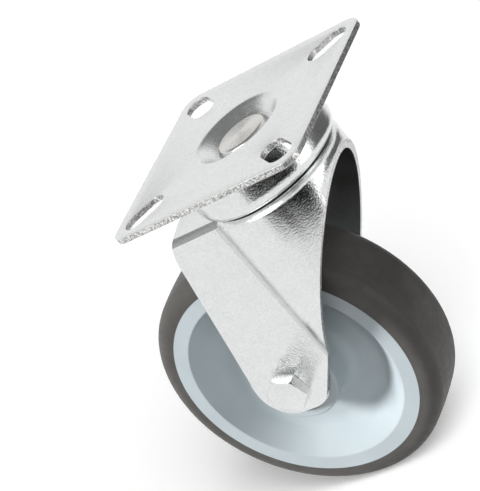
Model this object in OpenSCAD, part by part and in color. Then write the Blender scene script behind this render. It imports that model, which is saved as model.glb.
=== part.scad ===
// Swivel plate castor with a 125 mm rubber-tyred wheel.
// Frame: origin where the swivel axis meets the top face of the plate,
// +Z up out of that face, the axle along Y, the wheel trailing toward -X.
// All sizes are in millimetres.

/* [Plate] */
// side of the square plate
plate_side = 95; // [80:0.5:120]
// thickness of the pressed sheet of plate and fork
sheet = 2.5; // [2:0.1:4]
// radius of the plate's four corners
plate_corner = 7.5; // [3:0.5:15]
// width of each diagonal bolt slot
slot_width = 11; // [7:0.1:13]
// end-to-end length of each bolt slot
slot_length = 19.6; // [12:0.1:26]
// distance of each slot's centre from the swivel axis, on the diagonal
slot_reach = 48.7; // [40:0.1:56]
// radius of the pressed dish at the plate's top face
dish_radius = 19.8; // [15:0.1:24]
// radius of the dish's flat floor
dish_floor_radius = 14.6; // [12:0.1:18]
// depth of the dish's floor below the top face
dish_depth = 5; // [3:0.1:8]
// radius of the dish's rounded rim at the top face
dish_rim_round = 3.5; // [2:0.1:5]
// radius of the dish's floor corner at the top face
dish_floor_round = 1.5; // [0.5:0.1:2.5]

/* [Swivel head] */
// outer radius of the race cup
cup_radius = 33.1; // [28:0.1:40]
// wall thickness of the race cup
cup_wall = 2; // [1.5:0.1:3]
// outer radius of the race cup's rolled-in lower corner
cup_corner = 6; // [3:0.1:8]
// lowest point of that rolled corner
cup_bottom = -22.4; // [-26:0.1:-18]
// radius of the opening left by the rolled-in lip
cup_mouth = 29.3; // [28.5:0.1:31]
// outer radius of the race cup's upper corner
cup_shoulder = 2.5; // [2:0.1:4]
// radius of the hole in the race cup's flange
cup_hole = 21.8; // [20:0.1:22.5]
// radius of the king pin's shank
pin_radius = 6; // [4:0.1:8]
// radius of the flat turned face of the pin's head
pin_face_radius = 9.6; // [8:0.1:12]
// radius of the pin's head where it sits on the dish
pin_head_radius = 12.5; // [10:0.1:14]
// height of the pin's head above the dish's floor
pin_head_height = 2.5; // [1.5:0.1:4]
// radius of the rounded edge of the pin's head
pin_head_round = 1.6; // [0.8:0.1:2]
// radius of the pin's riveted end
rivet_radius = 9.5; // [8:0.1:11]
// height of the pin's riveted end
rivet_height = 3.5; // [2:0.1:5]
// radius of the riveted end's rounded edge
rivet_round = 2.6; // [1:0.1:3]
// diameter of the balls in both swivel races
ball_d = 6.35; // [4:0.05:8]
// pitch radius of the upper ball row
upper_pitch = 23.5; // [20:0.1:26]
// number of balls in the upper row
upper_count = 20; // [12:1:24]
// pitch radius of the lower ball row
lower_pitch = 19.5; // [14:0.1:22]
// number of balls in the lower row
lower_count = 17; // [10:1:20]
// thickness of the lower race washer
lower_race_t = 3; // [2:0.1:5]
// outer radius of the lower race washer
lower_race_radius = 23.4; // [21:0.1:26]
// radius of the hole in the crown that the pin passes through
crown_hole = 9; // [7:0.1:11]

/* [Fork] */
// height of the crown's top face
crown_top = -22.3; // [-28:0.1:-16]
// outside width of the fork over its legs
fork_width = 47.2; // [40:0.1:60]
// outer radius of the rounded front skirt
skirt_radius = 31.5; // [28:0.1:36]
// outer bend radius where the crown turns down into the skirt
skirt_bend = 3.4; // [3:0.1:6]
// outer bend radius where the crown folds down into the legs
leg_bend = 3; // [2.6:0.1:6]
// outer radius of the raised race boss on the crown
boss_radius = 28; // [24:0.1:30]
// rear end of the crown at its folds
crown_rear = -44.6; // [-50:0.1:-38]
// radius of the crown's bowed rear edge, seen from above
crown_bow = 75; // [50:1:200]
// how far the legs reach below the axle
leg_below = 12.9; // [10:0.1:18]
// how far each leg's rear lower corner lies behind the axle
leg_behind = 19.45; // [16:0.05:24]
// how far each leg's front lower corner lies in front of the axle
leg_ahead = 10.15; // [9:0.05:18]
// height below the plate where the slanted front cut meets the leg's lower end
cut_low = 96; // [90:0.5:104]
// height below the plate where the front cut leaves the skirt's front
cut_high = 15.7; // [12:0.1:22]
// distance of that place in front of the swivel axis
cut_front = 40; // [34:0.5:46]
// distance behind the swivel axis of the cut's lower end
cut_rear = 20; // [16:0.5:26]
// distance behind the swivel axis of the knee in the leg's rear edge
knee_back = 50.25; // [46:0.25:56]
// depth of that knee below the plate
knee_drop = 35.2; // [30:0.1:40]
// radius of the arc from the crown to that knee
knee_round = 36; // [30:0.5:45]
// radius of the legs' rear lower corner
leg_rear_round = 14; // [8:0.1:18]
// radius of the legs' front lower corner
leg_front_round = 12; // [6:0.1:18]

/* [Wheel] */
// diameter of the wheel over its tread
wheel_d = 125; // [100:1:160]
// distance of the axle behind the swivel axis
trail = 49.5; // [30:0.1:60]
// distance of the axle below the plate's top face
axle_drop = 106.8; // [90:0.1:120]
// width of tyre and rim
wheel_width = 32.8; // [25:0.1:40]
// radius where the rim's side face meets the tyre
rim_outer = 53.6; // [48:0.1:56]
// inner radius of the rim's flat side face
rim_inner = 46.9; // [42:0.1:50]
// cross radius of the tread's crown
tread_crown = 150; // [60:5:400]
// radius of the tyre's shoulders
tyre_shoulder = 6.2; // [3:0.1:9]
// outer radius of the hub
hub_radius = 20.5; // [18:0.1:24]
// space between each end of the hub and the leg beside it
hub_gap = 1.1; // [0.6:0.1:3]
// radial run of the dished flank from the rim in to the web
dish_run = 10.9; // [6:0.1:16]
// thickness of the web between hub and rim
web_t = 9; // [6:0.1:14]
// height of the rib on the rim that keys the tyre
rib_height = 3.6; // [2:0.1:5]
// half width of that rib at its foot
rib_foot = 5.2; // [4:0.1:8]
// half width of that rib at its crest
rib_top = 4; // [2:0.1:6]
// radius of that rib's edges
rib_edge = 0.6; // [0.3:0.1:1]
// radius of the rim's inner edges
rim_edge = 0.8; // [0.3:0.1:1.5]
// radius of the blend from the web up the dished flank
dish_blend = 9; // [5:0.5:10]
// radius of the fillet between hub and web
hub_blend = 5; // [2:0.5:7]
// radius of the edges at the hub's ends
hub_edge = 1.2; // [0.5:0.1:2]
// how much the hub's radius tapers towards each end
hub_taper = 0.6; // [0.2:0.1:1]
// radius of the hub's bore between its bearings
hub_bore = 12.5; // [11:0.1:14]
// depth of each bearing inside the hub's end
bearing_sink = 0.5; // [0.2:0.1:1]

/* [Axle] */
// thread diameter of the axle bolt
bolt_d = 10; // [8:0.1:12]
// width across flats of bolt head and nut
hex_flats = 16.1; // [13:0.1:19]
// height of the bolt's head
head_height = 5; // [4:0.1:8]
// height of the nut's hexagon
nut_height = 7.6; // [6:0.1:10]
// radius of the nut's collar that holds the nylon ring
collar_radius = 7.3; // [6.8:0.1:8]
// height of the nut with its collar
collar_height = 9.9; // [8:0.1:12]
// outer radius of the nylon ring
insert_radius = 6.4; // [5.8:0.1:6.6]
// length of the bolt past the far leg
bolt_past = 12.2; // [10:0.1:16]
// turn of the bolt's head about its axis, as it was tightened
head_turn = 18.7; // [0:0.1:60]
// turn of the nut about its axis
nut_turn = 8; // [0:0.1:60]
// outer radius of the spacer rings beside the bearings
spacer_radius = 10; // [8.5:0.1:12]
// wall of each bearing ring
race_wall = 2.65; // [2:0.05:3.2]
// wall of the bearings' ball cages
cage_wall = 1.8; // [1.2:0.1:2.4]
// width of the bearings' ball cages
cage_width = 7; // [6:0.1:8.4]
// outer diameter of the axle tube
tube_d = 15; // [12:0.1:18]
// outside diameter of each wheel bearing
bearing_od = 32; // [28:0.1:35]
// width of each wheel bearing
bearing_w = 9; // [7:0.1:11]
// diameter of the wheel bearings' balls
race_ball_d = 4.76; // [4:0.01:6]
// number of balls in each wheel bearing
race_ball_count = 9; // [7:1:10]

/* [Hidden] */
$fn = 96;
eps = 1;
past = 8;                                     // how far a cutting form runs past a face
deep = 140;                                   // depth at which the fork's raw form ends
long = 80;                                    // length of the fork's raw form behind the swivel axis
gap = 0.05;                                   // running gap at each ball track
hole_gap = 0.1;                               // play of the bolt in the holes it passes
half = fork_width / 2;                        // outer face of a leg
inner = half - sheet;                         // inner face of a leg
hub_length = 2 * (inner - hub_gap);
ball_r = ball_d / 2;
track_r = ball_r + 0.12;
track_depth = 0.5;
cup_flange = -sheet - cup_wall;               // underside of the cup's flange
cup_inside = 0.8;                             // radius inside the cup's upper corner
upper_z = cup_flange + track_depth - ball_r - gap;
boss_top = upper_z - ball_r - gap + track_depth;
lower_z = boss_top - sheet + track_depth - ball_r - gap;
race_top = lower_z - ball_r - gap + track_depth;
race_bottom = race_top - lower_race_t;
pin_bevel = 1.2;                              // the head's flat before its edge is rounded, past its face
axle = [-trail, 0, -axle_drop];
knee_dip = 7.8;                               // the knee arc's centre, below the knee
knee_run = 35.15;                             // that centre, ahead of the knee
bearing_y = hub_length / 2 - bearing_sink;    // outer face of a bearing
race_pitch = (tube_d / 2 + bearing_od / 2) / 2;
cage_gap = 0.12;
bolt_bevel = 1;                               // bevel at the bolt's threaded end
hex_bevel = 0.3;                              // a hexagon's washer face, inside its flats
hex_fall = 0.62;                              // fall of that bevel for each millimetre outwards
collar_foot = 1.6;                            // how deep the nut's collar starts in its hexagon
collar_bevel = 0.6;                           // how far the collar's rolled edge comes in
collar_fall = 0.7;                            // height of that rolled edge
insert_high = collar_height - 0.5;            // the nylon ring, from the far leg's face
insert_low = insert_high - 2;
dish_slope = atan2(dish_depth, dish_radius - dish_floor_radius);
dish_shift = sheet * tan(dish_slope / 2);
dish_join = 25;                               // radius where the dish's turned form meets the sheet
hw = wheel_width / 2;
tread_c = wheel_d / 2 - tread_crown;          // radius of the tread crown's centre
shoulder_r = tread_c + sqrt(pow(tread_crown - tyre_shoulder, 2) - pow(hw - tyre_shoulder, 2));
rib_r = rim_outer + rib_height;               // crest of the rib that keys the tyre

// Outlines whose corners are rounded with true arcs

function unit(v) = v / norm(v);
function at(p, i) = p[(i + len(p)) % len(p)];
function turn(p, i) = let (a = at(p, i) - at(p, i - 1), b = at(p, i + 1) - at(p, i))
    a[0] * b[1] - a[1] * b[0];
function corner_half(p, i) = let (a = unit(at(p, i - 1) - p[i]), b = unit(at(p, i + 1) - p[i]))
    acos(a * b) / 2;
function tangent(p, r, i) = r[i] / tan(corner_half(p, i));
function centre_of(p, r, i) = let (a = unit(at(p, i - 1) - p[i]), b = unit(at(p, i + 1) - p[i]))
    p[i] + unit(a + b) * (r[i] / sin(corner_half(p, i)));

function leave(p, r, i, j) = p[i] + unit(at(p, j) - p[i]) * tangent(p, r, i);
function ear(p, r, i) = [leave(p, r, i, i - 1), p[i], leave(p, r, i, i + 1)];

// the corner moved a little into the solid, so that a filled-in corner overlaps it
function sunk(p, i) = p[i] - 0.3 * unit(unit(at(p, i - 1) - p[i]) + unit(at(p, i + 1) - p[i]));

// points run counter-clockwise; radius 0 keeps a corner sharp
module rounded(p, r) {
    union() {
        polygon([for (i = [0 : len(p) - 1]) each r[i] == 0 || turn(p, i) < 0 ? [p[i]] :
            [leave(p, r, i, i - 1), leave(p, r, i, i + 1)]]);
        for (i = [0 : len(p) - 1]) if (r[i] > 0) {
            if (turn(p, i) > 0) intersection() {
                polygon(ear(p, r, i));
                translate(centre_of(p, r, i)) circle(r[i]);
            }
            else difference() {
                polygon([leave(p, r, i, i - 1), leave(p, r, i, i + 1), sunk(p, i)]);
                translate(centre_of(p, r, i)) circle(r[i]);
            }
        }
    }
}

// a section drawn as [radius, height], turned about the swivel axis
module about_z() { rotate_extrude() children(); }

// a section drawn as [radius, y], turned about the axle
module about_axle() { translate(axle) rotate([-90, 0, 0]) rotate_extrude() children(); }

// a plain ring on the axle from y0 to y1
module ring(r0, r1, y0, y1) {
    about_axle() translate([r0, y0]) square([r1 - r0, y1 - y0]);
}

// Plate and swivel head

module slot(w, l) {
    union() {
        square([l - w, w], center = true);
        for (s = [-1, 1]) translate([s * (l - w) / 2, 0]) circle(w / 2);
    }
}

module top_plate() color([0.80, 0.81, 0.81]) {
    h = plate_side / 2;
    c = plate_corner;
    union() {
        translate([0, 0, -sheet]) linear_extrude(sheet) difference() {
            rounded([[-h, -h], [h, -h], [h, h], [-h, h]], [c, c, c, c]);
            circle(dish_join);
            for (a = [45 : 90 : 315]) rotate(a) translate([slot_reach, 0])
                slot(slot_width, slot_length);
        }
        about_z() rounded(
            [[pin_radius, -dish_depth - sheet],
             [dish_floor_radius + dish_shift, -dish_depth - sheet],
             [dish_radius + dish_shift, -sheet],
             [dish_join, -sheet], [dish_join, 0], [dish_radius, 0],
             [dish_floor_radius, -dish_depth], [pin_radius, -dish_depth]],
            [0, dish_floor_round + sheet, dish_rim_round - sheet, 0,
             0, dish_rim_round, dish_floor_round, 0]);
    }
}

module race_cup() color([0.78, 0.79, 0.79]) about_z() difference() {
    r = cup_radius - cup_wall;
    rounded([[0, cup_bottom], [cup_radius, cup_bottom], [cup_radius, -sheet], [0, -sheet]],
            [0, cup_corner, cup_shoulder, 0]);
    rounded([[0, cup_bottom + cup_wall], [r, cup_bottom + cup_wall], [r, cup_flange], [0, cup_flange]],
            [0, cup_corner - cup_wall, cup_inside, 0]);
    translate([0, cup_bottom - eps]) square([cup_mouth, past]);
    translate([0, cup_flange - eps]) square([cup_hole, cup_wall + 2 * eps]);
    translate([upper_pitch, upper_z]) circle(track_r);
}

module pin() color([0.74, 0.73, 0.71]) about_z() rounded(
    [[0, race_bottom - rivet_height],
     [rivet_radius, race_bottom - rivet_height],
     [rivet_radius, race_bottom],
     [pin_radius, race_bottom], [pin_radius, -dish_depth],
     [pin_head_radius, -dish_depth],
     [pin_face_radius + pin_bevel, -dish_depth + pin_head_height],
     [0, -dish_depth + pin_head_height]],
    [0, rivet_round, 0, 0, 0, 0, pin_head_round, 0]);

module lower_race() color([0.62, 0.63, 0.64]) about_z() difference() {
    translate([pin_radius, race_bottom]) square([lower_race_radius - pin_radius, lower_race_t]);
    translate([lower_pitch, lower_z]) circle(track_r);
}

module ball_row(r, pitch, count, z) {
    for (i = [0 : count - 1]) rotate(i * 360 / count) translate([pitch, 0, z]) sphere(r, $fn = 32);
}

module upper_balls() color([0.85, 0.86, 0.88]) ball_row(ball_r, upper_pitch, upper_count, upper_z);
module lower_balls() color([0.85, 0.86, 0.88]) ball_row(ball_r, lower_pitch, lower_count, lower_z);

// Fork

// the fork's form, drawn in by d from its outer skin
module fork_form(d) {
    w = half - d;
    union() {
        about_z() rounded(
            [[0, -deep - d], [skirt_radius - d, -deep - d], [skirt_radius - d, crown_top - d],
             [boss_radius - d, crown_top - d], [boss_radius - d, boss_top - d], [0, boss_top - d]],
            [0, 0, skirt_bend - d, 0, leg_bend - d, 0]);
        translate([-long - d, 0, 0]) rotate([90, 0, 90]) linear_extrude(long + d) rounded(
            [[-w, -deep - d], [w, -deep - d], [w, crown_top - d], [-w, crown_top - d]],
            [0, 0, leg_bend - d, leg_bend - d]);
    }
}

// the side view of the fork: leg, slanted front cut and rounded lower end
module fork_side() {
    leg_bottom = -axle_drop - leg_below;
    c = [-knee_back + knee_run, -knee_drop - knee_dip];
    union() {
        rounded([[crown_rear, 0], [crown_rear, crown_top],
                 [-knee_back, -knee_drop], [-trail - leg_behind, leg_bottom],
                 [-trail + leg_ahead, leg_bottom],
                 [-cut_rear, -cut_low], [cut_front, -cut_high], [cut_front, 0]],
                [0, 0, 0, leg_rear_round, leg_front_round, 0, 0, 0]);
        intersection() {
            translate(c) circle(knee_round);
            polygon([[-cut_rear, crown_top], [-cut_rear, -knee_drop],
                [-knee_back - past, -knee_drop], [-knee_back - past, crown_top]]);
        }
    }
}

module fork() color([0.80, 0.81, 0.81]) {
    bow_c = crown_rear + sqrt(pow(crown_bow, 2) - pow(half - leg_bend, 2));
    difference() {
        union() {
            intersection() {
                difference() {
                    fork_form(0);
                    fork_form(sheet);
                }
                translate([0, half + past, 0]) rotate([90, 0, 0])
                    linear_extrude(fork_width + 2 * past) fork_side();
            }
            intersection() {
                translate([bow_c, 0, crown_top - sheet]) cylinder(r = crown_bow, h = sheet);
                translate([crown_rear - past, -half + leg_bend, crown_top - sheet])
                    cube([2 * past, fork_width - 2 * leg_bend, sheet]);
            }
        }
        translate([0, 0, crown_top - sheet - past]) cylinder(r = crown_hole, h = -crown_top + past);
        about_z() {
            translate([upper_pitch, upper_z]) circle(track_r);
            translate([lower_pitch, lower_z]) circle(track_r);
        }
        translate(axle) rotate([90, 0, 0])
            cylinder(r = bolt_d / 2 + hole_gap, h = 2 * fork_width, center = true);
    }
}

// Axle

// a hexagon prism along Y from y0 to y1, its corners bevelled at the y0 end
module hex_y(y0, y1, turned) {
    rc = hex_flats / sqrt(3);
    face = hex_flats / 2 - hex_bevel;
    l = abs(y1 - y0);
    dir = y1 > y0 ? -90 : 90;
    translate([axle[0], y0, axle[2]]) rotate([dir, 0, 0]) intersection() {
        rotate(turned) cylinder(r = rc, h = l, $fn = 6);
        rotate_extrude() polygon([[0, 0], [face, 0], [rc + eps, (rc + eps - face) * hex_fall],
                                  [rc + eps, l], [0, l]]);
    }
}

module axle_bolt() color([0.78, 0.79, 0.80]) {
    union() {
        hex_y(-half - head_height, -half, head_turn);
        about_axle() polygon([[0, -half - eps], [bolt_d / 2, -half - eps],
                              [bolt_d / 2, half + bolt_past - bolt_bevel],
                              [bolt_d / 2 - bolt_bevel, half + bolt_past], [0, half + bolt_past]]);
    }
}

module axle_nut() color([0.78, 0.79, 0.80]) difference() {
    union() {
        hex_y(half + nut_height, half, nut_turn);
        about_axle() polygon([[bolt_d / 2, half + nut_height - collar_foot],
                              [collar_radius, half + nut_height - collar_foot],
                              [collar_radius, half + collar_height - collar_fall],
                              [collar_radius - collar_bevel, half + collar_height],
                              [bolt_d / 2, half + collar_height]]);
    }
    ring(0, bolt_d / 2, half - eps, half + collar_height + eps);
    ring(0, insert_radius, half + insert_low, half + insert_high);
}

module nut_insert() color([0.20, 0.30, 0.62])
    ring(bolt_d / 2, insert_radius, half + insert_low, half + insert_high);

module axle_tube() color([0.70, 0.71, 0.72]) ring(bolt_d / 2 + hole_gap, tube_d / 2, -inner, inner);
module spacer(s) {
    ring(tube_d / 2, spacer_radius, min(s * bearing_y, s * inner), max(s * bearing_y, s * inner));
}
module spacer_l() color([0.70, 0.71, 0.72]) spacer(-1);
module spacer_r() color([0.70, 0.71, 0.72]) spacer(1);

// Wheel

module wheel_centre() color([0.62, 0.68, 0.71]) about_axle() difference() {
    s = hub_length / 2;
    end = hub_radius - hub_taper;
    foot = rim_inner - dish_run;
    w = web_t / 2;
    union() {
        rounded(
            [[hub_bore, -s], [end, -s], [hub_radius, -w], [foot, -w], [rim_inner, -hw], [rim_outer, -hw],
             [rim_outer, -rib_foot], [rib_r, -rib_top], [rib_r, rib_top], [rim_outer, rib_foot],
             [rim_outer, hw], [rim_inner, hw], [foot, w], [hub_radius, w], [end, s], [hub_bore, s]],
            [0, hub_edge, hub_blend, dish_blend, rim_edge, 0, rib_edge, rib_edge, rib_edge, rib_edge,
             0, rim_edge, dish_blend, hub_blend, hub_edge, 0]);
    }
    for (a = [-1, 1]) translate([0, a > 0 ? bearing_y - bearing_w : -s - eps])
        square([bearing_od / 2, bearing_w + bearing_sink + eps]);
}

module tyre() color([0.23, 0.225, 0.22]) about_axle() difference() {
    tread_r = wheel_d / 2;
    intersection() {
        translate([tread_c, 0]) circle(tread_crown, $fn = 720);
        union() {
            translate([rim_outer - past, -hw]) square([shoulder_r - rim_outer + past, wheel_width]);
            translate([shoulder_r - eps, -hw + tyre_shoulder])
                square([tread_r - shoulder_r + past, wheel_width - 2 * tyre_shoulder]);
            for (a = [-1, 1]) translate([shoulder_r, a * (hw - tyre_shoulder)]) circle(tyre_shoulder);
        }
    }
    rounded([[0, -hw - past], [rim_outer, -hw - past], [rim_outer, -rib_foot], [rib_r, -rib_top],
             [rib_r, rib_top], [rim_outer, rib_foot], [rim_outer, hw + past], [0, hw + past]],
            [0, 0, rib_edge, rib_edge, rib_edge, rib_edge, 0, 0]);
}

// Wheel bearings

function bearing_mid(s) = s * (bearing_y - bearing_w / 2);

module bearing_inner(s) about_axle() difference() {
    translate([tube_d / 2, bearing_mid(s) - bearing_w / 2]) square([race_wall, bearing_w]);
    translate([race_pitch, bearing_mid(s)]) circle(race_ball_d / 2 + gap);
}

module bearing_outer(s) about_axle() difference() {
    translate([bearing_od / 2 - race_wall, bearing_mid(s) - bearing_w / 2]) square([race_wall, bearing_w]);
    translate([race_pitch, bearing_mid(s)]) circle(race_ball_d / 2 + gap);
}

module bearing_balls(s) {
    translate([axle[0], bearing_mid(s), axle[2]]) rotate([-90, 0, 0])
        ball_row(race_ball_d / 2, race_pitch, race_ball_count, 0);
}

module bearing_cage(s) difference() {
    ring(race_pitch - cage_wall / 2, race_pitch + cage_wall / 2,
         bearing_mid(s) - cage_width / 2, bearing_mid(s) + cage_width / 2);
    translate([axle[0], bearing_mid(s), axle[2]]) rotate([-90, 0, 0])
        for (i = [0 : race_ball_count - 1]) rotate(i * 360 / race_ball_count) rotate([0, 90, 0])
            translate([0, 0, race_pitch - cage_wall])
                cylinder(r = race_ball_d / 2 + cage_gap, h = 2 * cage_wall);
}

module bearing_l_inner() color([0.72, 0.73, 0.75]) bearing_inner(-1);
module bearing_l_outer() color([0.72, 0.73, 0.75]) bearing_outer(-1);
module bearing_l_balls() color([0.85, 0.86, 0.88]) bearing_balls(-1);
module bearing_l_cage() color([0.75, 0.66, 0.42]) bearing_cage(-1);
module bearing_r_inner() color([0.72, 0.73, 0.75]) bearing_inner(1);
module bearing_r_outer() color([0.72, 0.73, 0.75]) bearing_outer(1);
module bearing_r_balls() color([0.85, 0.86, 0.88]) bearing_balls(1);
module bearing_r_cage() color([0.75, 0.66, 0.42]) bearing_cage(1);

// Nodes

top_plate();
race_cup();
pin();
lower_race();
upper_balls();
lower_balls();
fork();
axle_bolt();
axle_nut();
nut_insert();
axle_tube();
spacer_l();
spacer_r();
wheel_centre();
tyre();
bearing_l_inner();
bearing_l_outer();
bearing_l_balls();
bearing_l_cage();
bearing_r_inner();
bearing_r_outer();
bearing_r_balls();
bearing_r_cage();
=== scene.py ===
"""Swivel castor: the visual model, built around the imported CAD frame.

Frame: origin where the swivel axis meets the plate's top face, +Z up out of that
face, the axle along Y, the wheel trailing toward -X. Lengths are in metres.
"""

import math

import bmesh
import bpy
from mathutils import Matrix, Vector


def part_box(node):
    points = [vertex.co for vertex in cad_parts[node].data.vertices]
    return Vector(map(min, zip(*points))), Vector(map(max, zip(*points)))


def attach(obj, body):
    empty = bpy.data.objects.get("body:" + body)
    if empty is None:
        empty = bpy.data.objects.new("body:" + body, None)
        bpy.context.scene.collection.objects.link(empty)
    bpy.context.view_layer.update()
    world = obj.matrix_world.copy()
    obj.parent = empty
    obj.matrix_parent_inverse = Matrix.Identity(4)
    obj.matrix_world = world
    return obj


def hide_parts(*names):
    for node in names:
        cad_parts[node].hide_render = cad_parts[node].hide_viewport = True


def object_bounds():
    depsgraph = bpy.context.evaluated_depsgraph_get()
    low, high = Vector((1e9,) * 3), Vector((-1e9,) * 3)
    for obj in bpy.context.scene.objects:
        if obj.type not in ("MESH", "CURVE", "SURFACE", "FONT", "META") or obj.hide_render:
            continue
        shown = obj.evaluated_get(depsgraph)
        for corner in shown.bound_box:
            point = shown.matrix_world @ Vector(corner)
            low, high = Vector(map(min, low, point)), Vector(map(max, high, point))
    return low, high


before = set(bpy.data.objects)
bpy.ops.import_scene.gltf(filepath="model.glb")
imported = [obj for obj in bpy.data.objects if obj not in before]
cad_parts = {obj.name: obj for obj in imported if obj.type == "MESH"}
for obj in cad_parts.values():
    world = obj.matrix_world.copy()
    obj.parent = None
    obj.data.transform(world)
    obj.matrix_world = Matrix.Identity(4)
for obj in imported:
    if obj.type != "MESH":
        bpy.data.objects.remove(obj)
CAD_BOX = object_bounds()

bl_info = {
    "name": "Swivel castor",
    "version": (1, 0, 0),
    "blender": (4, 5, 0),
    "location": "3D View > Sidebar > Castor",
    "description": "Dresses the CAD frame of a plate castor and sets up its studio",
    "category": "Object",
}

# The castor's own places, in metres
AXLE = Vector((-0.0495, 0.0, -0.1068))  # the wheel's centre
BOLT_RADIUS = 0.005
DISH_REACH = 0.0255  # the plate's pressed dish lies within this radius
LEG_FACE = 0.0236  # outer face of a leg, from the middle
SKIRT_RADIUS = 0.0315
UPPER_PITCH, UPPER_COUNT = 0.0235, 20
LOWER_PITCH, LOWER_COUNT = 0.0195, 17
RACE_PITCH, RACE_COUNT = 0.01175, 9

# The fork's front outline: a slanted cut that changes slope at its knee
CUT_RUN, CUT_RISE = 60.0, 80.3
CUT_FACING = Vector((CUT_RISE, 0.0, -CUT_RUN)).normalized()
CUT_KNEE = Vector((-0.020, -0.096))  # in X and Z
SLOPE_ABOVE_KNEE, SLOPE_BELOW_KNEE = CUT_RISE / CUT_RUN, 1.225

# Where the fork's regions meet
FLAT_LEG_X = -0.0209  # behind this the sides are flat legs, ahead of it a round skirt
LEG_END_Z = -0.1  # the legs' rounded ends lie below this
HOLE_REACH = 0.007  # the bolt's holes lie this near the axle
LEG_REAR_X, LEG_REAR_Z = -0.042, -0.0225  # the legs' rear edges lie behind and below these
CROWN_REAR_X, CROWN_REAR_Z = -0.044, -0.025  # the crown's bowed rear edge lies behind and above these
BEND_X, BEND_Z = -0.0215, -0.0222  # the legs' bends into the crown lie behind and below these
INSIDE_Z = -0.0252  # below this, a face turned inwards is inside the fork

# How the faces of those regions are turned, as cosines
PLATE_WALL = 0.2  # a punched wall of the plate looks up or down by less than this
LEG_WALL, CROWN_WALL = 0.02, 0.1  # the same for the legs' cut edges, towards Y, and the crown's, towards Z
ALONG_CUT = 0.999  # the slanted cut's own wall faces as the cut does
REARWARD, STRAIGHT_REARWARD = -0.1, -0.9
BEND_LOW, BEND_HIGH = 0.15, 0.97  # the bends look up by between these
DOWNWARD = -0.5

CREASE_TOP = -0.0254  # where a crease runs into the bends of the crown
CREASE_SUNK = (0.0002, 0.0003)  # how far a crease's hidden corner lies in the sheet, in X and Y
CREASE_LIFT = 0.0004  # how far a crease stays clear of the slanted cut

# Meshes
NEAR = 1e-7  # points this near are the same
FLAT_ANGLE = 0.4  # degrees between facets of one flat face
CURVE_ANGLE = 32.0  # degrees up to which a surface shades as smooth
SHEET_CORNER, BOLT_CORNER = 50.0, 40.0  # edges sharper than these degrees are rolled
CARD_STEP = 4.0  # degrees between the folds of a curved card
BALL_SEGMENTS, BALL_RINGS = 28, 16
THREAD_AROUND, THREAD_ROWS = 64, 14  # faces round the thread, and along each turn of it

FLOOR_Z = CAD_BOX[0].z - 0.0002


# Sizes and colours a user would change


def length(name, text, value, low=0.0, high=0.02):
    """A length property in metres."""
    return bpy.props.FloatProperty(
        name=name, description=text, default=value, min=low, max=high,
        subtype="DISTANCE", unit="LENGTH", precision=5,
    )


def share(name, text, value, high=1.0):
    """A number from 0 up, such as a roughness."""
    return bpy.props.FloatProperty(
        name=name, description=text, default=value, min=0.0, max=high
    )


def colour(name, text, rgb):
    """A linear colour."""
    return bpy.props.FloatVectorProperty(
        name=name, description=text, default=rgb, size=3, min=0.0, max=1.0,
        subtype="COLOR",
    )


class CastorSizes(bpy.types.PropertyGroup):
    """Sizes of the detail that the CAD solids leave out."""

    punch_roll: length("Punched edge", "Roll of the plate's and slots' punched edges", 0.00045)
    shear_roll: length("Sheared edge", "Roll of the fork's sheared edges", 0.0003)
    crease_radius: length("Crease", "Radius of the hollow crease beside the skirt", 0.005)
    head_roll: length("Bolt edge", "Roll of the edges of the bolt's head and the nut", 0.00028)
    thread_pitch: length("Thread pitch", "Pitch of the axle bolt's thread", 0.0015)
    thread_depth: length("Thread depth", "Depth of the axle bolt's thread", 0.0009)
    thread_start: length("Thread start", "Where the thread begins along the axle", 0.014, 0.0, 0.05)
    turning_step: length("Turning marks", "Step between the turning marks on the pin", 0.00035)


class CastorFinish(bpy.types.PropertyGroup):
    """Colours and gloss of the castor's materials."""

    zinc: colour("Zinc", "Colour of the bright zinc plating", (0.73, 0.74, 0.74))
    zinc_roughness: share("Zinc roughness", "Roughness of the bright zinc plating", 0.17)
    shear: colour("Sheared steel", "Colour of the sheared edges", (0.70, 0.70, 0.69))
    # painted shade: inside is a dark zinc standing for the shade that falls inside the fork and under its
    # crown, not a duller plating
    inside: colour("Inside", "Colour of the duller plating inside the fork", (0.22, 0.22, 0.215))
    # painted shade: crease is a darker zinc standing for the grey shade along the hollow crease, not a
    # drawn finish
    crease: colour("Crease", "Colour of the drawn crease beside the skirt", (0.62, 0.63, 0.63))
    # painted reflection: bend is a dark zinc standing for the dim surround mirrored in the up-turned
    # bends, not stretched plating
    bend: colour("Bend", "Colour of the stretched bends above the legs", (0.34, 0.345, 0.345))
    pin: colour("Pin", "Colour of the king pin's turned steel", (0.73, 0.722, 0.70))
    rubber: colour("Rubber", "Colour of the tyre", (0.082, 0.078, 0.073))
    rubber_roughness: share("Rubber roughness", "Roughness of the tyre", 0.56)
    plastic: colour("Plastic", "Colour of the wheel centre", (0.50, 0.565, 0.592))
    plastic_roughness: share("Plastic roughness", "Roughness of the wheel centre", 0.36)
    race: colour("Races", "Colour of the ground races, tube and spacers", (0.56, 0.57, 0.58))
    ball: colour("Balls", "Colour of the polished balls", (0.80, 0.81, 0.83))
    nylon: colour("Nylon", "Colour of the nut's locking ring", (0.045, 0.10, 0.36))
    cage: colour("Cage", "Colour of the ball cages", (0.50, 0.40, 0.18))


# Materials


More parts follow.
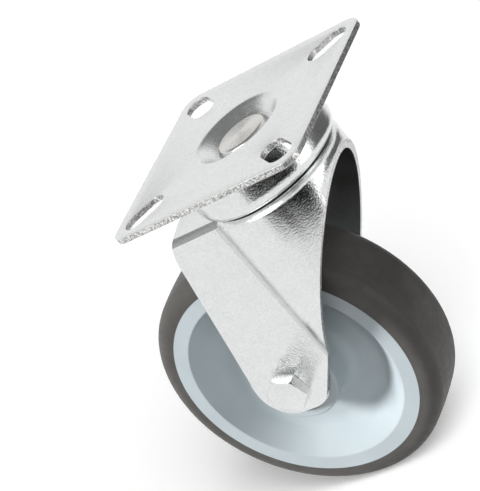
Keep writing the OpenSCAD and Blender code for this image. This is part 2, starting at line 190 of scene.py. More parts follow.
class Nodes:
    """A node tree in the making, with short calls to add and join its nodes."""

    def __init__(self, tree):
        self.tree = tree

    def put(self, value, socket):
        """Joins another socket to this one, or sets its value."""
        if isinstance(value, bpy.types.NodeSocket):
            self.tree.links.new(value, socket)
        else:
            socket.default_value = value

    def node(self, kind, inputs=(), **settings):
        """Adds a node; inputs maps its sockets to values or other sockets."""
        made = self.tree.nodes.new(kind)
        for setting, value in settings.items():
            setattr(made, setting, value)
        for socket, value in dict(inputs).items():
            self.put(value, made.inputs[socket])
        return made

    def maths(self, operation, *values):
        """Adds a Math node and gives its result."""
        made = self.node("ShaderNodeMath", operation=operation)
        for socket, value in zip(made.inputs, values):
            self.put(value, socket)
        return made.outputs[0]

    def mapped(self, value, low, high, to_low=0.0, to_high=1.0, **settings):
        """Maps low..high onto to_low..to_high, clamped."""
        ends = {"From Min": low, "From Max": high, "To Min": to_low, "To Max": to_high}
        return self.node("ShaderNodeMapRange", {"Value": value, **ends}, **settings).outputs[0]

    def ramp(self, value, low, high, to_low=0.0, to_high=1.0):
        """Maps low..high onto to_low..to_high, clamped and with soft ends."""
        return self.mapped(value, low, high, to_low, to_high, interpolation_type="SMOOTHSTEP")


class Finish(Nodes):
    """A Principled material in the making, on the object's own coordinates."""

    def __init__(self, name, **sockets):
        old = bpy.data.materials.get(name)
        if old:
            bpy.data.materials.remove(old)
        self.material = bpy.data.materials.new(name)
        self.material.use_nodes = True
        super().__init__(self.material.node_tree)
        self.shader = self.tree.nodes["Principled BSDF"]
        for socket, value in sockets.items():
            self.shader.inputs[socket.replace("_", " ")].default_value = value
        self.place = self.node("ShaderNodeTexCoord").outputs["Object"]

    def noise(self, scale, detail=3.0, roughness=0.55, stretch=None):
        """Noise of about 1 / scale metres, along the object's own axes."""
        place = self.place
        if stretch:
            place = self.node("ShaderNodeMapping", {"Vector": place, "Scale": stretch}).outputs[0]
        return self.node(
            "ShaderNodeTexNoise",
            {"Vector": place, "Scale": scale, "Detail": detail, "Roughness": roughness},
        ).outputs["Fac"]

    def tint(self, value, rgb, low, high):
        """Colours the surface from rgb * low to rgb * high as value goes from 0 to 1."""
        made = self.node("ShaderNodeMix", data_type="RGBA")
        # a Mix node's factor, and its sockets A and B for colours
        factor, dark, light = (made.inputs[i] for i in (0, 6, 7))
        self.put(value, factor)
        for socket, part in ((dark, low), (light, high)):
            socket.default_value = (*(min(1.0, c * part) for c in rgb), 1.0)
        self.give("Base Color", made.outputs[2])

    def give(self, socket, value):
        """Joins a socket to one of the shader's."""
        self.put(value, self.shader.inputs[socket])

    def bumps(self, *layers):
        """Stacks bump layers of (height socket, depth in metres, strength)."""
        normal = None
        for height, depth, strength in layers:
            inputs = {"Height": height, "Distance": depth, "Strength": strength}
            if normal:
                inputs["Normal"] = normal
            normal = self.node("ShaderNodeBump", inputs).outputs[0]
        self.give("Normal", normal)


# Noise scales of the finishes, in waves to a metre
ZINC_SLOW, ZINC_MIDDLE, ZINC_FINE, ZINC_SPANGLE = 95.0, 620.0, 1250.0, 1700.0
TORN_GRAIN, TORN_FINE = 1900.0, 4200.0
TURNED_SLOW, TURNED_WANDER, TURNED_FINE = 160.0, 260.0, 2600.0
STEEL_SLOW, STEEL_MIDDLE, STEEL_FINE = 240.0, 900.0, 1500.0
RUBBER_SLOW, RUBBER_MIDDLE, RUBBER_GRAIN = 70.0, 420.0, 2400.0
MOULDED_SLOW, MOULDED_GLOSS, MOULDED_FLOW, MOULDED_GRAIN = 45.0, 160.0, 210.0, 3200.0
SPREAD = (0.3, 0.7)  # the range in which most of a noise lies


def zinc_finish(name, rgb, roughness, grain=1.0):
    """Bright zinc: fine spangle and grain, and a slow wander of tone and gloss."""
    made = Finish(name, Metallic=1.0)
    fine = made.noise(ZINC_FINE, 2.0, 0.65)
    spangle = made.node(
        "ShaderNodeTexVoronoi", {"Vector": made.place, "Scale": ZINC_SPANGLE, "Randomness": 1.0}
    ).outputs["Color"]
    cells = made.node("ShaderNodeSeparateColor", {"Color": spangle}).outputs[0]
    slow = made.noise(ZINC_SLOW, 4.0, 0.6)
    middle = made.noise(ZINC_MIDDLE, 3.0, 0.6)
    tone = made.maths("ADD", made.maths("MULTIPLY", cells, 0.45), made.maths("MULTIPLY", slow, 0.55))
    made.tint(made.ramp(tone, 0.2, 0.8), rgb, 0.935, 1.045)
    wear = made.maths("ADD", made.maths("MULTIPLY", slow, 0.6), made.maths("MULTIPLY", fine, 0.4))
    made.give("Roughness", made.ramp(wear, *SPREAD, roughness * 0.75, roughness * 1.45))
    made.bumps(
        (slow, 0.00045, 0.04 * grain), (middle, 0.00010, 0.05 * grain), (fine, 0.00010, 0.85 * grain)
    )
    return made.material


def sheared_finish(name, rgb):
    """A sheared or punched edge, torn into bright and dark specks."""
    made = Finish(name, Metallic=1.0)
    torn = made.noise(TORN_GRAIN, 3.0, 0.65, (1.0, 1.0, 0.6))
    fine = made.noise(TORN_FINE, 2.0)
    made.tint(made.ramp(torn, 0.42, 0.58), rgb, 0.42, 1.2)
    made.give("Roughness", made.ramp(fine, *SPREAD, 0.26, 0.50))
    made.bumps((torn, 0.00016, 0.8), (fine, 0.00005, 0.4))
    return made.material


def turned_finish(name, rgb, step):
    """Turned steel: fine rings about the swivel axis, step apart, with a little wander."""
    made = Finish(name, Metallic=1.0)
    split = made.node("ShaderNodeSeparateXYZ", {"Vector": made.place})
    x, y = split.outputs[0], split.outputs[1]
    squares = made.maths("ADD", made.maths("MULTIPLY", x, x), made.maths("MULTIPLY", y, y))
    radius = made.maths("SQRT", squares)
    wander = made.maths("MULTIPLY", made.noise(TURNED_WANDER, 2.0), step * 0.8)
    rings = made.maths("SINE", made.maths("MULTIPLY", made.maths("ADD", radius, wander), math.tau / step))
    slow = made.noise(TURNED_SLOW, 3.0)
    made.tint(made.ramp(slow, *SPREAD), rgb, 0.9, 1.06)
    made.give("Roughness", made.ramp(slow, *SPREAD, 0.24, 0.36))
    made.bumps((rings, 0.00002, 0.55), (made.noise(TURNED_FINE), 0.00003, 0.3))
    return made.material


def steel_finish(name, rgb, roughness):
    """Ground or polished steel of the races and balls."""
    made = Finish(name, Metallic=1.0)
    made.tint(made.ramp(made.noise(STEEL_SLOW, 3.0), *SPREAD), rgb, 0.92, 1.05)
    made.give(
        "Roughness", made.ramp(made.noise(STEEL_MIDDLE), *SPREAD, roughness * 0.8, roughness * 1.3)
    )
    made.bumps((made.noise(STEEL_FINE, 2.0), 0.00002, 0.2))
    return made.material


def rubber_finish(name, rgb, roughness):
    """Matte rubber with the mould's fine texture and paler and darker clouds."""
    made = Finish(name, Specular_IOR_Level=0.36)
    slow = made.noise(RUBBER_SLOW, 4.0, 0.6)
    grain = made.noise(RUBBER_GRAIN, 3.0, 0.6)
    middle = made.noise(RUBBER_MIDDLE, 3.0)
    made.tint(made.ramp(slow, 0.3, 0.75), rgb, 0.88, 1.14)
    made.give("Roughness", made.ramp(middle, *SPREAD, roughness * 0.9, roughness * 1.12))
    made.bumps((middle, 0.0001, 0.14), (grain, 0.00005, 0.35))
    return made.material


def moulded_finish(name, rgb, roughness):
    """Satin moulded plastic: faint flow marks and a fine spark-eroded texture."""
    made = Finish(name, Specular_IOR_Level=0.35)
    slow = made.noise(MOULDED_SLOW, 3.0, 0.5)
    grain = made.noise(MOULDED_GRAIN, 2.0, 0.5)
    gloss = made.noise(MOULDED_GLOSS, 3.0)
    made.tint(made.ramp(slow, *SPREAD), rgb, 0.965, 1.03)
    made.give("Roughness", made.ramp(gloss, *SPREAD, roughness * 0.88, roughness * 1.15))
    made.bumps((made.noise(MOULDED_FLOW, 2.0), 0.00022, 0.10), (grain, 0.00003, 0.22))
    return made.material


def recipe(name):
    """How a finish is made: a function of this file, and what it takes after the name."""
    look = bpy.context.scene.castor_finish
    sizes = bpy.context.scene.castor_sizes
    return {
        "zinc": (zinc_finish, look.zinc, look.zinc_roughness),
        "bolt_zinc": (zinc_finish, look.zinc, look.zinc_roughness * 1.1, 0.9),
        # painted shade: the fork's inner and downward faces get this dark zinc for the shade inside the
        # fork
        "zinc_inside": (zinc_finish, look.inside, 0.36),
        # painted shade: a darker zinc along the hollow crease
        "zinc_crease": (zinc_finish, look.crease, 0.42, 0.6),
        # painted reflection: the bends get a dark zinc for the dim surround they mirror
        "zinc_bend": (zinc_finish, look.bend, 0.22, 1.8),
        "sheared_edge": (sheared_finish, look.shear),
        "pin_steel": (turned_finish, look.pin, sizes.turning_step),
        "race_steel": (steel_finish, look.race, 0.26),
        "ball_steel": (steel_finish, look.ball, 0.08),
        "rubber": (rubber_finish, look.rubber, look.rubber_roughness),
        "wheel_plastic": (moulded_finish, look.plastic, look.plastic_roughness),
        "nylon": (moulded_finish, look.nylon, 0.4),
        "cage_plastic": (moulded_finish, look.cage, 0.42),
    }[name]


def finish(name):
    """The named material, built on first use under a name of the castor's own."""
    made = bpy.data.materials.get("castor_" + name)
    if made is None:
        make, *values = recipe(name)
        made = make(name, *values)
        made.name = "castor_" + name
    return made


def dress(node, name):
    """Gives a kept CAD node a finish; its mesh stays as it is."""
    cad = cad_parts[node]
    for slot in cad.material_slots:
        slot.material = finish(name)
    if not cad.material_slots:
        cad.data.materials.append(finish(name))


# Meshes


def settle(piece, body, slot, *nodes):
    """Hangs a finished piece on the body it rides on and hides the CAD nodes it replaces; slot is not
    used.
    """
    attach(piece, body)
    if nodes:
        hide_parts(*nodes)
    return piece


def add_piece(name, mesh, *materials):
    """Links a mesh as an object at the origin."""
    piece = bpy.data.objects.new(name, mesh)
    bpy.context.scene.collection.objects.link(piece)
    for material in materials:
        mesh.materials.append(material)
    return piece


def as_mesh(made, name):
    """Turns a finished bmesh into a mesh and frees it."""
    mesh = bpy.data.meshes.new(name)
    made.to_mesh(mesh)
    made.free()
    return mesh


def applied(piece):
    """Turns a piece with modifiers into a plain mesh and removes them."""
    graph = bpy.context.evaluated_depsgraph_get()
    mesh = bpy.data.meshes.new_from_object(piece.evaluated_get(graph), depsgraph=graph)
    piece.modifiers.clear()
    old, piece.data = piece.data, mesh
    bpy.data.meshes.remove(old)
    return piece


def smooth(mesh, degrees=CURVE_ANGLE):
    """Smooth shading, with edges sharper than the angle kept crisp."""
    mesh.polygons.foreach_set("use_smooth", [True] * len(mesh.polygons))
    mesh.set_sharp_from_angle(angle=math.radians(degrees))
    mesh.update()


def merged_copy(node):
    """A bmesh of a CAD node with its loose triangles merged and flat faces joined."""
    made = bmesh.new()
    made.from_mesh(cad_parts[node].data)
    bmesh.ops.remove_doubles(made, verts=made.verts, dist=10 * NEAR)
    for face in made.faces:
        face.smooth = False
        face.material_index = 0
    for edge in made.edges:
        edge.smooth = True
    bmesh.ops.dissolve_limit(
        made, angle_limit=math.radians(FLAT_ANGLE), verts=made.verts, edges=made.edges
    )
    return made


def roll_edges(made, width, degrees, segments=2):
    """Rounds every edge sharper than the angle."""
    made.normal_update()
    sharp = [
        e for e in made.edges
        if len(e.link_faces) == 2 and e.calc_face_angle(0.0) > math.radians(degrees)
    ]
    bmesh.ops.bevel(
        made, geom=sharp, offset=width, offset_type="OFFSET", segments=segments,
        profile=0.5, affect="EDGES", clamp_overlap=True, harden_normals=False,
    )


def softened(node, name, width, degrees, materials, which=None, segments=2):
    """A copy of a CAD node with rolled edges; which(face) numbers each face's material."""
    made = merged_copy(node)
    if which:
        made.normal_update()
        for face in made.faces:
            face.material_index = int(which(face))
    roll_edges(made, width, degrees, segments)
    bmesh.ops.remove_doubles(made, verts=made.verts, dist=2 * NEAR)
    bmesh.ops.triangulate(made, faces=[f for f in made.faces if len(f.verts) > 4])
    mesh = as_mesh(made, name)
    smooth(mesh)
    return add_piece(name, mesh, *materials)


# Geometry nodes


class Tree(Nodes):
    """A Geometry Nodes tree in the making, with named inputs."""

    def __init__(self, name, **inputs):
        old = bpy.data.node_groups.get(name)
        if old:
            bpy.data.node_groups.remove(old)
        super().__init__(bpy.data.node_groups.new(name, "GeometryNodeTree"))
        face = self.tree.interface
        face.new_socket("Geometry", in_out="OUTPUT", socket_type="NodeSocketGeometry")
        for label, (kind, default) in inputs.items():
            socket = face.new_socket(label, in_out="INPUT", socket_type=kind)
            socket.default_value = default
        self.inputs = self.tree.nodes.new("NodeGroupInput").outputs
        self.out = self.tree.nodes.new("NodeGroupOutput")

    def end(self, geometry, material):
        """Closes the tree with Realize Instances and Set Material."""
        real = self.node("GeometryNodeRealizeInstances", {"Geometry": geometry})
        worn = self.node("GeometryNodeSetMaterial", {"Geometry": real.outputs[0], "Material": material})
        self.put(worn.outputs[0], self.out.inputs["Geometry"])
        return self.tree


def grown(name, tree, material, place=None, **values):
    """Runs a tree on an empty mesh with these inputs and returns the plain mesh it makes."""
    piece = add_piece(name, bpy.data.meshes.new(name))
    run = piece.modifiers.new("shape", "NODES")
    run.node_group = tree
    for item in tree.interface.items_tree:
        if item.in_out == "INPUT" and item.name in values:
            run[item.identifier] = values[item.name]
    bpy.context.view_layer.update()
    applied(piece)
    if place is not None:
        piece.data.transform(place)
    piece.data.materials.clear()
    piece.data.materials.append(material)
    smooth(piece.data)
    if not piece.data.polygons:
        raise RuntimeError(name + " came out empty")
    return piece


def ball_row_tree(material):
    """Equal balls on a circle about Z."""
    t = Tree(
        "castor ball row",
        Count=("NodeSocketInt", 9),
        Pitch=("NodeSocketFloat", 0.01),
        Ball=("NodeSocketFloat", 0.003),
    )
    ring = t.node(
        "GeometryNodeMeshCircle",
        {"Vertices": t.inputs["Count"], "Radius": t.inputs["Pitch"]},
        fill_type="NONE",
    )
    ball = t.node(
        "GeometryNodeMeshUVSphere",
        {"Segments": BALL_SEGMENTS, "Rings": BALL_RINGS, "Radius": t.inputs["Ball"]},
    )
    row = t.node(
        "GeometryNodeInstanceOnPoints",
        {"Points": ring.outputs["Mesh"], "Instance": ball.outputs["Mesh"]},
    )
    return t.end(row.outputs[0], material)


def thread_tree(material):
    """A threaded length along Z: a tube whose radius follows the helix."""
    t = Tree(
        "castor thread",
        Radius=("NodeSocketFloat", 0.005),
        Depth=("NodeSocketFloat", 0.0009),
        Pitch=("NodeSocketFloat", 0.0015),
        Length=("NodeSocketFloat", 0.02),
        Rows=("NodeSocketInt", 200),
    )
    sheet = t.node(
        "GeometryNodeMeshGrid",
        {"Size X": 1.0, "Size Y": 1.0, "Vertices X": THREAD_AROUND + 1, "Vertices Y": t.inputs["Rows"]},
    )
    place = t.node("ShaderNodeSeparateXYZ", {"Vector": t.node("GeometryNodeInputPosition").outputs[0]})
    turn = t.maths("ADD", place.outputs[0], 0.5)
    along = t.maths("MULTIPLY", t.maths("ADD", place.outputs[1], 0.5), t.inputs["Length"])
    phase = t.maths("FRACT", t.maths("SUBTRACT", t.maths("DIVIDE", along, t.inputs["Pitch"]), turn))
    # a V groove with a flat crest and a flat root, as shares of half a turn
    flank_start, flank_end = 0.12, 0.86
    ridge = t.maths("ABSOLUTE", t.maths("SUBTRACT", t.maths("MULTIPLY", phase, 2.0), 1.0))
    groove = t.mapped(ridge, flank_start, flank_end, 1.0, 0.0)
    # the bolt's end is bevelled, and the groove grows to its full depth where it starts
    bevel_length, bevel_depth, run_in = 0.001, 0.0009, 0.002
    left = t.maths("SUBTRACT", t.inputs["Length"], along)
    bevel = t.mapped(left, 0.0, bevel_length, bevel_depth, 0.0)
    start = t.mapped(along, 0.0, run_in)
    depth = t.maths("MULTIPLY", t.maths("MULTIPLY", groove, t.inputs["Depth"]), start)
    radius = t.maths("SUBTRACT", t.inputs["Radius"], t.maths("MAXIMUM", depth, bevel))
    angle = t.maths("MULTIPLY", turn, math.tau)
    point = t.node(
        "ShaderNodeCombineXYZ",
        {0: t.maths("MULTIPLY", radius, t.maths("COSINE", angle)),
         1: t.maths("MULTIPLY", radius, t.maths("SINE", angle)), 2: along},
    )
    rolled = t.node(
        "GeometryNodeSetPosition", {"Geometry": sheet.outputs["Mesh"], "Position": point.outputs[0]}
    )
    joined = t.node("GeometryNodeMergeByDistance", {"Geometry": rolled.outputs[0], "Distance": 10 * NEAR})
    return t.end(joined.outputs[0], material)


def about_axle(y):
    """Turns a shape made about Z onto the axle, starting at this y."""
    return Matrix.Translation((AXLE.x, y, AXLE.z)) @ Matrix.Rotation(math.radians(-90.0), 4, "X")


# The castor's pieces


class MakePlate(bpy.types.Operator):
    """The pressed square plate, its punched slots and sheared edges rolled over."""

    bl_idname = "castor.make_plate"
    bl_label = "Plate"

    def execute(self, context):
        sizes = context.scene.castor_sizes

        def punched(face):
            """1 for the upright walls of the outline and the slots, but not the dish's."""
            upright = abs(face.normal.z) < PLATE_WALL
            return upright and face.calc_center_median().to_2d().length > DISH_REACH

        plate = softened(
            "top_plate", "plate", sizes.punch_roll, SHEET_CORNER,
            (finish("zinc"), finish("sheared_edge")), punched, 3,
        )
        settle(plate, "mount", "zinc", "top_plate")
        return {"FINISHED"}


class MakeSwivelHead(bpy.types.Operator):
    """The race cup, king pin, lower race and both rows of balls."""

    bl_idname = "castor.make_swivel_head"
    bl_label = "Swivel head"

    def execute(self, context):
        dress("race_cup", "zinc")
        dress("pin", "pin_steel")
        dress("lower_race", "race_steel")
        tree = ball_row_tree(finish("ball_steel"))
        for node, body, count, pitch in (
            ("upper_balls", "upper_row", UPPER_COUNT, UPPER_PITCH),
            ("lower_balls", "lower_row", LOWER_COUNT, LOWER_PITCH),
        ):
            low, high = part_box(node)
            balls = grown(
                node + "_row", tree, finish("ball_steel"),
                Matrix.Translation((0, 0, (low.z + high.z) / 2)),
                Count=count, Pitch=pitch, Ball=(high.z - low.z) / 2,
            )
            settle(balls, body, "ball_steel", node)
        return {"FINISHED"}


def crease_outline(radius, steps=10):
    """The hollow arc from the leg's face to the skirt, and the corner that lies sunk in the sheet."""
    reach = SKIRT_RADIUS + radius
    centre = Vector((-math.sqrt(reach ** 2 - (LEG_FACE + radius) ** 2), LEG_FACE + radius))
    on_skirt = centre.normalized() * SKIRT_RADIUS
    start = -math.pi / 2
    end = math.atan2(on_skirt.y - centre.y, on_skirt.x - centre.x)
    angles = (start + (end - start) * i / steps for i in range(steps + 1))
    arc = [centre + radius * Vector((math.cos(a), math.sin(a))) for a in angles]
    meeting = -math.sqrt(SKIRT_RADIUS ** 2 - LEG_FACE ** 2)
    return [*arc, Vector((meeting + CREASE_SUNK[0], LEG_FACE - CREASE_SUNK[1]))]


def cut_height(x):
    """Height of the fork's slanted edge at this x."""
    ahead = x - CUT_KNEE.x
    return CUT_KNEE.y + (SLOPE_ABOVE_KNEE if ahead > 0.0 else SLOPE_BELOW_KNEE) * ahead


def leg_creases(radius):
    """Hollow fillets where each flat leg runs into the round skirt, cut off along the slanted edge."""
    outline = crease_outline(radius)
    made = bmesh.new()
    for side in (-1.0, 1.0):
        low, high = (
            [made.verts.new((point.x, side * point.y, height(point.x))) for point in outline]
            for height in (lambda x: cut_height(x) + CREASE_LIFT, lambda x: CREASE_TOP)
        )
        for i in range(len(outline)):
            j = (i + 1) % len(outline)
            made.faces.new((low[i], low[j], high[j], high[i]))
        made.faces.new(low)
        made.faces.new(high)
    bmesh.ops.recalc_face_normals(made, faces=made.faces)
    mesh = as_mesh(made, "leg_creases")
    smooth(mesh)
    # painted shade: the creases wear the darker crease zinc for the grey band along them
    return add_piece("leg_creases", mesh, finish("zinc_crease"))


class MakeFork(bpy.types.Operator):
    """The pressed fork, its sheared outline rolled and left a little rougher, and its creases."""

    bl_idname = "castor.make_fork"
    bl_label = "Fork"

    # the bend finish is a painted dark reflection on the bends above the legs
    # the inside finish is painted shade: a dark zinc for the shade within the fork
    surfaces = ("zinc", "sheared_edge", "zinc_inside", "zinc_bend")

    @staticmethod
    def is_sheared(place, normal):
        """Says whether a face belongs to the wall across the sheet's cut edge."""
        if abs(normal.y) <= LEG_WALL:
            round_end = place.z < LEG_END_Z
            if round_end and math.hypot(place.x - AXLE.x, place.z - AXLE.z) > HOLE_REACH:
                return True
            if normal.dot(CUT_FACING) > ALONG_CUT:
                return True
            return place.x < LEG_REAR_X and place.z < LEG_REAR_Z and normal.x < REARWARD
        at_crown = place.x < CROWN_REAR_X and place.z > CROWN_REAR_Z
        return at_crown and abs(normal.z) < CROWN_WALL and normal.x < STRAIGHT_REARWARD

    @classmethod
    def surface(cls, face):
        """The number of a face's finish in surfaces."""
        place, normal = face.calc_center_median(), face.normal
        outward = Vector((place.x if place.x > FLAT_LEG_X else 0.0, place.y, 0.0))
        if cls.is_sheared(place, normal):
            return cls.surfaces.index("sheared_edge")
        # painted reflection: up-turned faces of the bends get the dark bend zinc for the dim reflection
        # they show
        at_bend = place.x < BEND_X and place.z < BEND_Z and outward.y * normal.y > 0.0
        if at_bend and BEND_LOW < normal.z < BEND_HIGH:
            return cls.surfaces.index("zinc_bend")
        # painted shade: faces looking down, or turned inwards low in the fork, get the dark inside zinc
        if normal.z < DOWNWARD or (place.z < INSIDE_Z and normal.dot(outward) < 0.0):
            return cls.surfaces.index("zinc_inside")
        return cls.surfaces.index("zinc")

    def execute(self, context):
        sizes = context.scene.castor_sizes
        fork = softened(
            "fork", "fork_shell", sizes.shear_roll, SHEET_CORNER,
            [finish(name) for name in self.surfaces], self.surface,
        )
        settle(fork, "fork", "zinc", "fork")
        settle(leg_creases(sizes.crease_radius), "fork", "zinc")
        return {"FINISHED"}


def bolt_body(sizes):
    """The bolt's head and plain shank, cut off where the thread begins."""
    made = merged_copy("axle_bolt")
    bmesh.ops.bisect_plane(
        made, geom=[*made.verts, *made.edges, *made.faces], dist=NEAR,
        plane_co=(0, sizes.thread_start, 0), plane_no=(0, 1, 0), clear_outer=True,
    )
    roll_edges(made, sizes.head_roll, BOLT_CORNER, 3)
    return as_mesh(made, "axle_bolt_body")


def threaded_bolt(sizes):
    """The bolt with a real thread from thread_start to its end."""
    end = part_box("axle_bolt")[1].y
    threaded = end - sizes.thread_start
    mesh = bolt_body(sizes)
    thread = grown(
        "axle_bolt_thread", thread_tree(finish("bolt_zinc")), finish("bolt_zinc"),
        about_axle(sizes.thread_start), Radius=BOLT_RADIUS, Depth=sizes.thread_depth,
        Pitch=sizes.thread_pitch, Length=threaded, Rows=int(threaded / sizes.thread_pitch * THREAD_ROWS),
    )
    made = bmesh.new()
    made.from_mesh(mesh)
    made.from_mesh(thread.data)
    bmesh.ops.remove_doubles(made, verts=made.verts, dist=20 * NEAR)
    last_ring = [e for e in made.edges if e.is_boundary and e.verts[0].co.y > end - 100 * NEAR]
    bmesh.ops.contextual_create(made, geom=last_ring)
    bmesh.ops.recalc_face_normals(made, faces=made.faces)
    made.to_mesh(mesh)
    made.free()
    bpy.data.objects.remove(thread)
    smooth(mesh, BOLT_CORNER)
    return add_piece("axle_bolt_threaded", mesh, finish("bolt_zinc"))


class MakeAxle(bpy.types.Operator):
    """The axle bolt with its thread, the locking nut, its ring, tube and spacers."""

    bl_idname = "castor.make_axle"
    bl_label = "Axle"

    def execute(self, context):
        sizes = context.scene.castor_sizes
        settle(threaded_bolt(sizes), "fork", "bolt_zinc", "axle_bolt")
        nut = softened(
            "axle_nut", "axle_nut_rolled", sizes.head_roll, BOLT_CORNER, (finish("bolt_zinc"),)
        )
        settle(nut, "fork", "bolt_zinc", "axle_nut")
        dress("nut_insert", "nylon")
        for node in ("axle_tube", "spacer_l", "spacer_r"):
            dress(node, "race_steel")
        return {"FINISHED"}


class MakeWheel(bpy.types.Operator):
    """The moulded wheel centre and the rubber tyre."""

    bl_idname = "castor.make_wheel"
    bl_label = "Wheel"

    def execute(self, context):
        dress("wheel_centre", "wheel_plastic")
        dress("tyre", "rubber")
        return {"FINISHED"}


class MakeBearings(bpy.types.Operator):
    """The two wheel bearings: rings, balls and cages."""

    bl_idname = "castor.make_bearings"
    bl_label = "Bearings"

    def execute(self, context):
        tree = ball_row_tree(finish("ball_steel"))
        for side in "lr":
            dress(f"bearing_{side}_inner", "race_steel")
            dress(f"bearing_{side}_outer", "race_steel")
            dress(f"bearing_{side}_cage", "cage_plastic")
            node = f"bearing_{side}_balls"
            low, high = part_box(node)
            balls = grown(
                node + "_row", tree, finish("ball_steel"), about_axle((low.y + high.y) / 2),
                Count=RACE_COUNT, Pitch=RACE_PITCH, Ball=(high.y - low.y) / 2,
            )
            settle(balls, "cage_" + side, "ball_steel", node)
        return {"FINISHED"}


# Studio


def plain_material(name, rgb, glow=0.0):
    """Matte paper or card for the studio, which may shine a little by itself."""
    made = bpy.data.materials.new(name)
    made.use_nodes = True
    inputs = made.node_tree.nodes["Principled BSDF"].inputs
    inputs["Base Color"].default_value = (*rgb, 1.0)
    inputs["Roughness"].default_value = 0.9
    inputs["Specular IOR Level"].default_value = 0.1
    inputs["Emission Color"].default_value = (1.0, 1.0, 1.0, 1.0)
    inputs["Emission Strength"].default_value = glow
    return made


def reflection_card(name, mesh, rgb, glow):
    """A card of the stage that is seen only in the steel."""
    card = add_piece(name, mesh, plain_material(name, rgb, glow))
    card.visible_camera = False
    card.visible_diffuse = False
    card.visible_shadow = False
    return card


def flag(name, start, end, radius, lows, high, rgb, glow=0.0):
    """A curved card stood round the castor from start to end degrees.

    lows gives the height of its lower edge at start and at end."""
    made = bmesh.new()
    steps = max(3, int((end - start) / CARD_STEP))
    rows = []
    for i in range(steps + 1):
        along = i / steps
        a = math.radians(start + (end - start) * along)
        x, y = radius * math.cos(a), radius * math.sin(a)
        low = lows[0] + (lows[1] - lows[0]) * along
        rows.append((made.verts.new((x, y, low)), made.verts.new((x, y, high))))
    for (a, b), (c, d) in zip(rows, rows[1:]):
        made.faces.new((a, b, d, c))
    return reflection_card(name, as_mesh(made, name), rgb, glow)


def softbox(name, place, aim, side, rgb, glow):
    """A square lamp face at place, turned to aim."""
    mesh = bpy.data.meshes.new(name)
    h = side / 2
    mesh.from_pydata([(-h, -h, 0), (h, -h, 0), (h, h, 0), (-h, h, 0)], [], [(0, 1, 2, 3)])
    towards = Vector(aim) - Vector(place)
    mesh.transform(Matrix.Translation(place) @ towards.to_track_quat("Z", "Y").to_matrix().to_4x4())
    return reflection_card(name, mesh, rgb, glow)


def soft_sun(name, towards, strength, softness):
    """Even light from one side, as from a large lamp far off; towards points at the lamp."""
    data = bpy.data.lights.new(name, "SUN")
    data.energy = strength
    data.angle = math.radians(softness)
    lamp = bpy.data.objects.new(name, data)
    lamp.visible_glossy = False
    lamp.rotation_euler = Vector(towards).to_track_quat("Z", "Y").to_euler()
    bpy.context.scene.collection.objects.link(lamp)
    return lamp


def light_only(lamp, thing, state):
    """Lets a lamp light only this thing (INCLUDE) or everything but it (EXCLUDE)."""
    group = bpy.data.collections.new(lamp.name + "_on")
    group.objects.link(thing)
    lamp.light_linking.receiver_collection = group
    group.collection_objects[0].light_linking.link_state = state


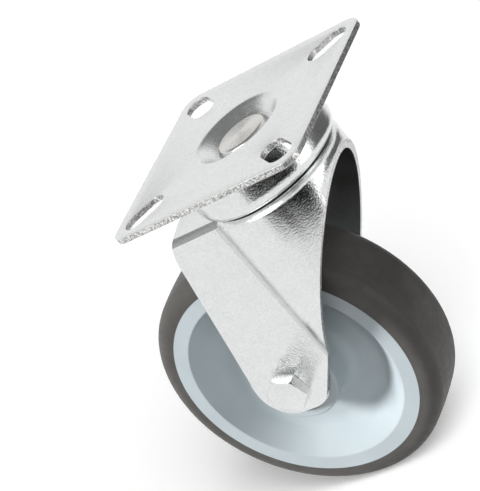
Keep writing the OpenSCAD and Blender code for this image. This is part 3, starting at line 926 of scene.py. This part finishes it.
class MakeStage(bpy.types.Operator):
    """The pale floor, soft studio light, reflection cards and the camera."""

    bl_idname = "castor.make_stage"
    bl_label = "Stage"

    floor_side = 8.0
    floor_tone, floor_glow = 0.90, 0.28
    black, grey, white = (0.012,) * 3, (0.10,) * 3, (0.9,) * 3

    # name, start and end in degrees, radius, heights of the lower edge, top, colour, glow
    cards = (
        ("dark_card_near", -99.0, -60.0, 0.22, (-0.100, -0.130), -0.01, black, 0.0),
        ("dark_card_middle", -60.0, -22.0, 0.22, (-0.132, FLOOR_Z), -0.01, black, 0.0),
        ("dim_card_side", 8.0, 76.0, 0.24, (FLOOR_Z, FLOOR_Z), 0.0, grey, 0.0),
        ("white_strip", -85.0, -30.0, 0.14, (-0.132, -0.132), -0.111, white, 0.6),
    )
    white_card = ("white_card", -21.0, 5.0, 0.215, (FLOOR_Z, FLOOR_Z), 0.05, white, 1.1)
    # name, place, aim, side, colour, glow
    white_box = ("white_box", (-0.07, -0.31, 0.19), (-0.05, 0.0, -0.10), 0.30, white, 3.2)
    # name, direction to the lamp, strength, softness in degrees
    suns = (
        ("key", (-0.64, -0.50, 0.60), 4.1, 16.0),
        ("fill", (0.60, -0.70, 0.40), 0.5, 40.0),
        ("floor_key", (0.85, -0.55, 1.1), 2.5, 35.0),
    )

    # the studio dims from wall to ceiling, between these shares of the way up
    wall_top, ceiling_start = 0.48, 0.80
    wall_light, ceiling_light = 1.0, 0.25
    matte_share = 0.34  # how much of that light falls on matte pieces

    # the photograph's view: where the camera stands and how it is turned
    view_azimuth = -40.3637
    view_elevation = 21.5617
    view_roll = -41.2836
    view_offset = Vector((-1.5598, -46.0109, 818.5255)) / 1000
    focal_pixels = 2095.3149
    long_side_pixels = 491

    def execute(self, context):
        scene = context.scene
        scene.view_settings.view_transform = "Standard"
        floor = self.lay_floor(context)
        for card in self.cards:
            flag(*card)
        softbox(*self.white_box)
        flag(*self.white_card)
        self.light_world(scene)
        lamps = {sun[0]: soft_sun(*sun) for sun in self.suns}
        light_only(lamps["key"], floor, "EXCLUDE")
        light_only(lamps["floor_key"], floor, "INCLUDE")
        self.place_camera(scene)
        return {"FINISHED"}

    def lay_floor(self, context):
        """A wide pale floor just under the tyre, which throws no light on the castor."""
        bpy.ops.mesh.primitive_plane_add(size=self.floor_side)
        floor = context.object
        floor.name = "floor"
        floor.data.transform(Matrix.Translation((0, 0, FLOOR_Z)))
        floor.data.materials.append(plain_material("pale_floor", (self.floor_tone,) * 3, self.floor_glow))
        floor.visible_diffuse = False
        return floor

    def light_world(self, scene):
        """A white studio whose ceiling is dim, as the plated steel shows it."""
        world = bpy.data.worlds.new("soft_white")
        world.use_nodes = True
        back = world.node_tree.nodes["Background"]
        sky = Nodes(world.node_tree)
        way = sky.node("ShaderNodeTexCoord").outputs["Generated"]
        height = sky.node("ShaderNodeSeparateXYZ", {"Vector": way}).outputs["Z"]
        light = sky.ramp(height, self.wall_top, self.ceiling_start, self.wall_light, self.ceiling_light)
        # walls and ceiling light matte pieces less than they mirror in the steel
        matte = sky.node("ShaderNodeLightPath").outputs["Is Diffuse Ray"]
        part = sky.mapped(matte, 0.0, 1.0, 1.0, self.matte_share)
        sky.put(sky.maths("MULTIPLY", light, part), back.inputs["Strength"])
        back.inputs["Color"].default_value = (1.0, 1.0, 1.0, 1.0)
        scene.world = world

    def place_camera(self, scene):
        """Stands the camera where the photograph was taken from."""
        az, el = math.radians(self.view_azimuth), math.radians(self.view_elevation)
        ahead = Vector((math.sin(az) * math.cos(el), math.cos(az) * math.cos(el), -math.sin(el)))
        side = ahead.cross(Vector((0, 0, 1))).normalized()
        up = side.cross(ahead)
        level = Matrix((side, up, -ahead)).transposed()
        turned = level @ Matrix.Rotation(math.radians(self.view_roll), 3, "Z")
        right, above = turned.col[0], turned.col[1]
        offset = self.view_offset
        place = -(right * offset.x - above * offset.y + ahead * offset.z)
        data = bpy.data.cameras.new("camera")
        data.sensor_width = 36.0  # in millimetres, as the lens is
        data.lens = self.focal_pixels * data.sensor_width / self.long_side_pixels
        data.clip_start, data.clip_end = 0.01, 20.0
        camera = bpy.data.objects.new("camera", data)
        camera.matrix_world = Matrix.Translation(place) @ turned.to_4x4()
        scene.collection.objects.link(camera)
        scene.camera = camera


class CastorPanel(bpy.types.Panel):
    """Lists the castor's sizes, finishes and pieces."""

    bl_idname = "VIEW3D_PT_castor"
    bl_label = "Swivel castor"
    bl_space_type = "VIEW_3D"
    bl_region_type = "UI"
    bl_category = "Castor"

    def draw(self, context):
        column = self.layout.column()
        for group in (context.scene.castor_sizes, context.scene.castor_finish):
            for name in group.__annotations__:
                column.prop(group, name)
        for step in STEPS:
            column.operator(step.bl_idname)


STEPS = (MakePlate, MakeSwivelHead, MakeFork, MakeAxle, MakeWheel, MakeBearings, MakeStage)
CLASSES = (CastorSizes, CastorFinish, *STEPS, CastorPanel)


def register():
    for kind in CLASSES:
        bpy.utils.register_class(kind)
    bpy.types.Scene.castor_sizes = bpy.props.PointerProperty(type=CastorSizes)
    bpy.types.Scene.castor_finish = bpy.props.PointerProperty(type=CastorFinish)


def unregister():
    del bpy.types.Scene.castor_sizes
    del bpy.types.Scene.castor_finish
    for kind in reversed(CLASSES):
        bpy.utils.unregister_class(kind)


def main():
    register()
    bpy.ops.castor.make_stage()
    bpy.ops.castor.make_plate()
    bpy.ops.castor.make_swivel_head()
    bpy.ops.castor.make_fork()
    bpy.ops.castor.make_axle()
    bpy.ops.castor.make_wheel()
    bpy.ops.castor.make_bearings()


if __name__ == "__main__":
    main()
